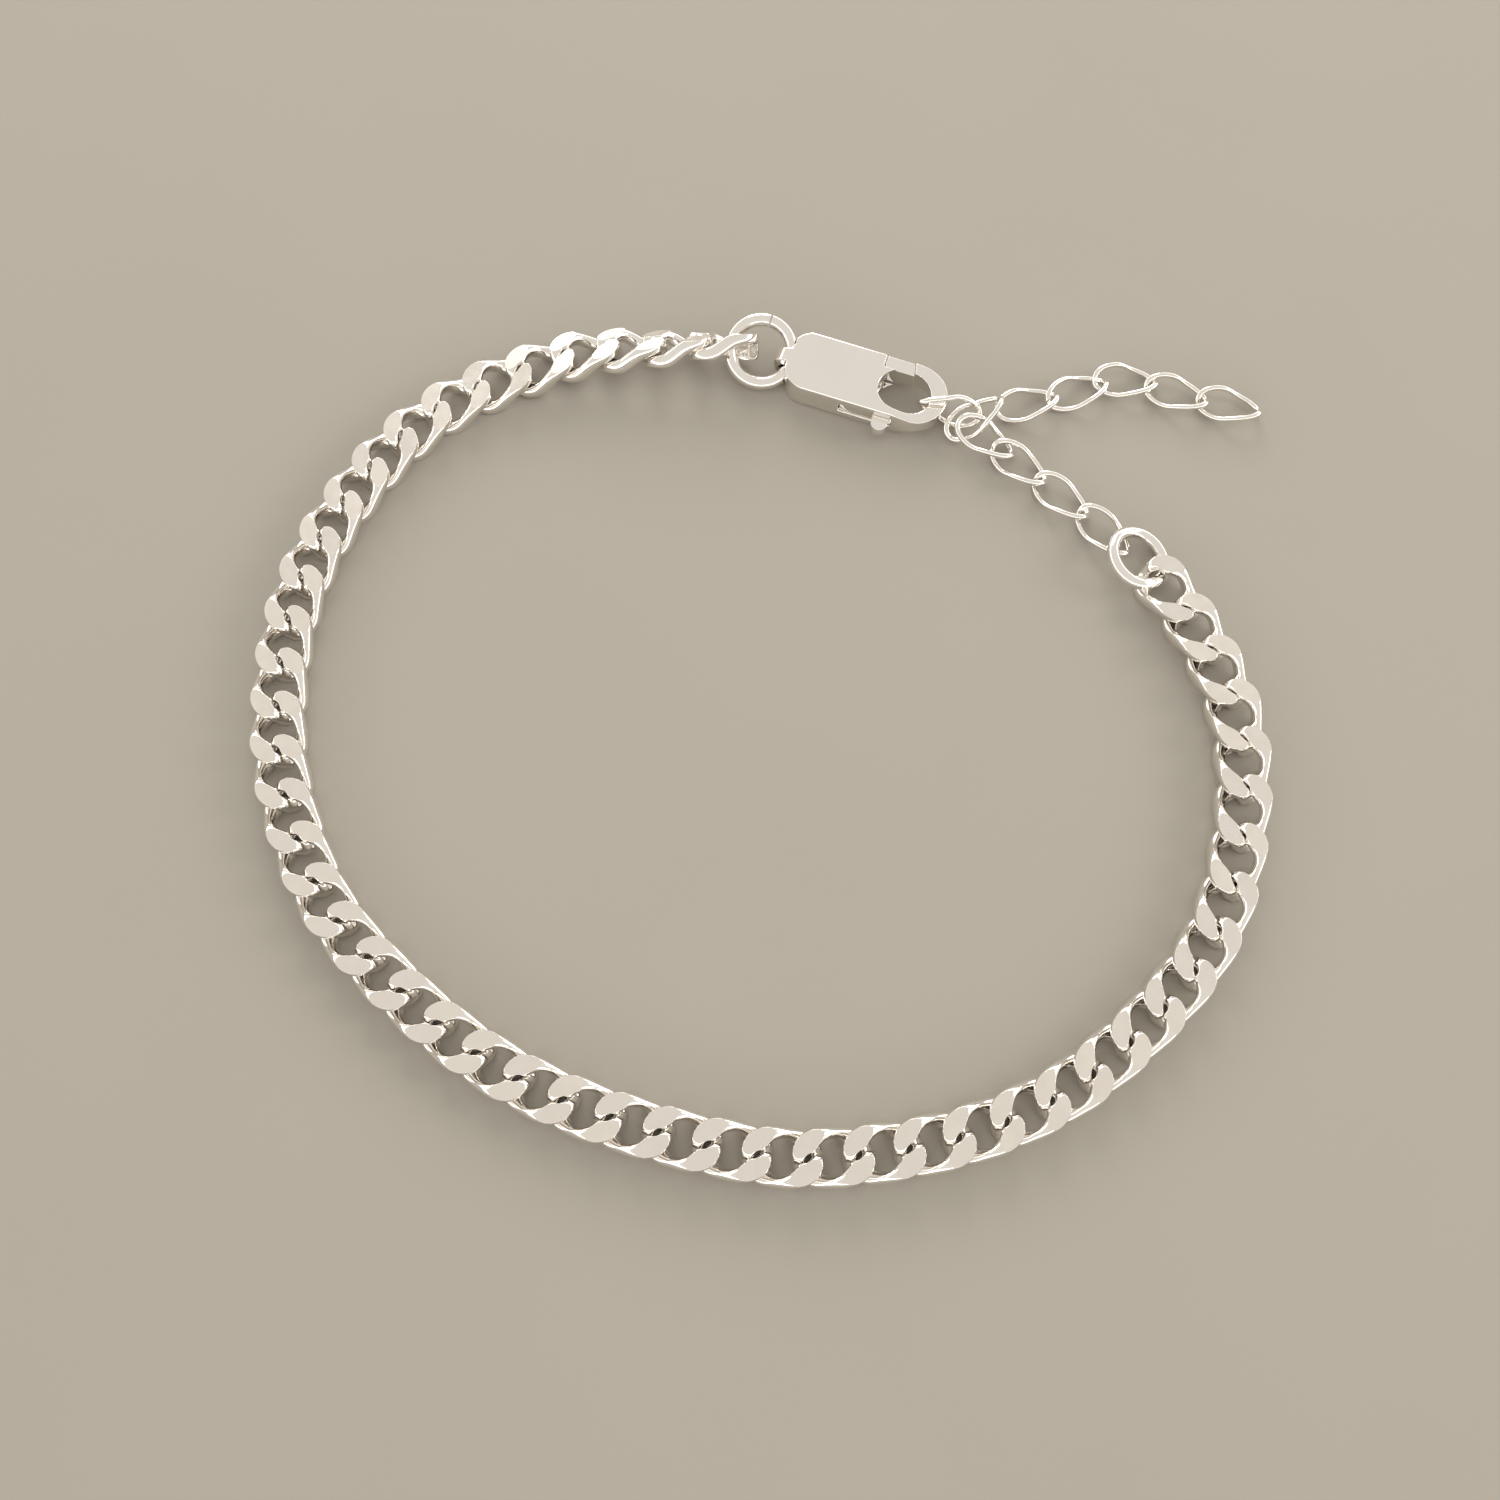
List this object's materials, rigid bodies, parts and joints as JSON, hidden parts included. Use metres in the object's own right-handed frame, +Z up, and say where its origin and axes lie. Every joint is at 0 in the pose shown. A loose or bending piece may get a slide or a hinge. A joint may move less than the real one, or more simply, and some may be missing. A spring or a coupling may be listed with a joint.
{
  "type": "link bracelet",
  "caption": "Silver bracelet of flat, filed curb links in a closed loop, with a lobster clasp hooked into an oval-link extender tail.",
  "frame": {"origin": "middle of the fastened bracelet's outline, on the surface that it lies on", "axes": "+Z up from the surface, +X along the loop's longer way with the extender tail at its positive end, +Y towards the clasp"},
  "size_m": [0.0656, 0.0566, 0.0038],
  "materials": {
    "chain_silver": "polished",
    "clasp_silver": "polished",
    "extender_silver": "polished"
  },
  "bodies": {
    "bracelet": {"curb_chain": "chain_silver", "clasp_ring": "clasp_silver", "clasp_body": "clasp_silver", "clasp_pin": "clasp_silver", "chain_ring": "clasp_silver", "extender_1": "extender_silver", "extender_2": "extender_silver", "extender_3": "extender_silver", "extender_4": "extender_silver", "extender_5": "extender_silver", "tail_1": "extender_silver", "tail_2": "extender_silver", "tail_3": "extender_silver", "tail_4": "extender_silver", "tail_5": "extender_silver", "tail_6": "extender_silver"},
    "lever": {"clasp_lever": "clasp_silver"}
  },
  "joints": [
    {"name": "lever_hinge", "type": "hinge", "parent": "bracelet", "child": "lever", "pos_m": [0.00635, 0.02471, 0.00105], "axis": [0, 0, -1], "range_deg": [0, 20], "stiffness_Nm_per_rad": 0.0002, "springref_deg": -11.46}
  ]
}
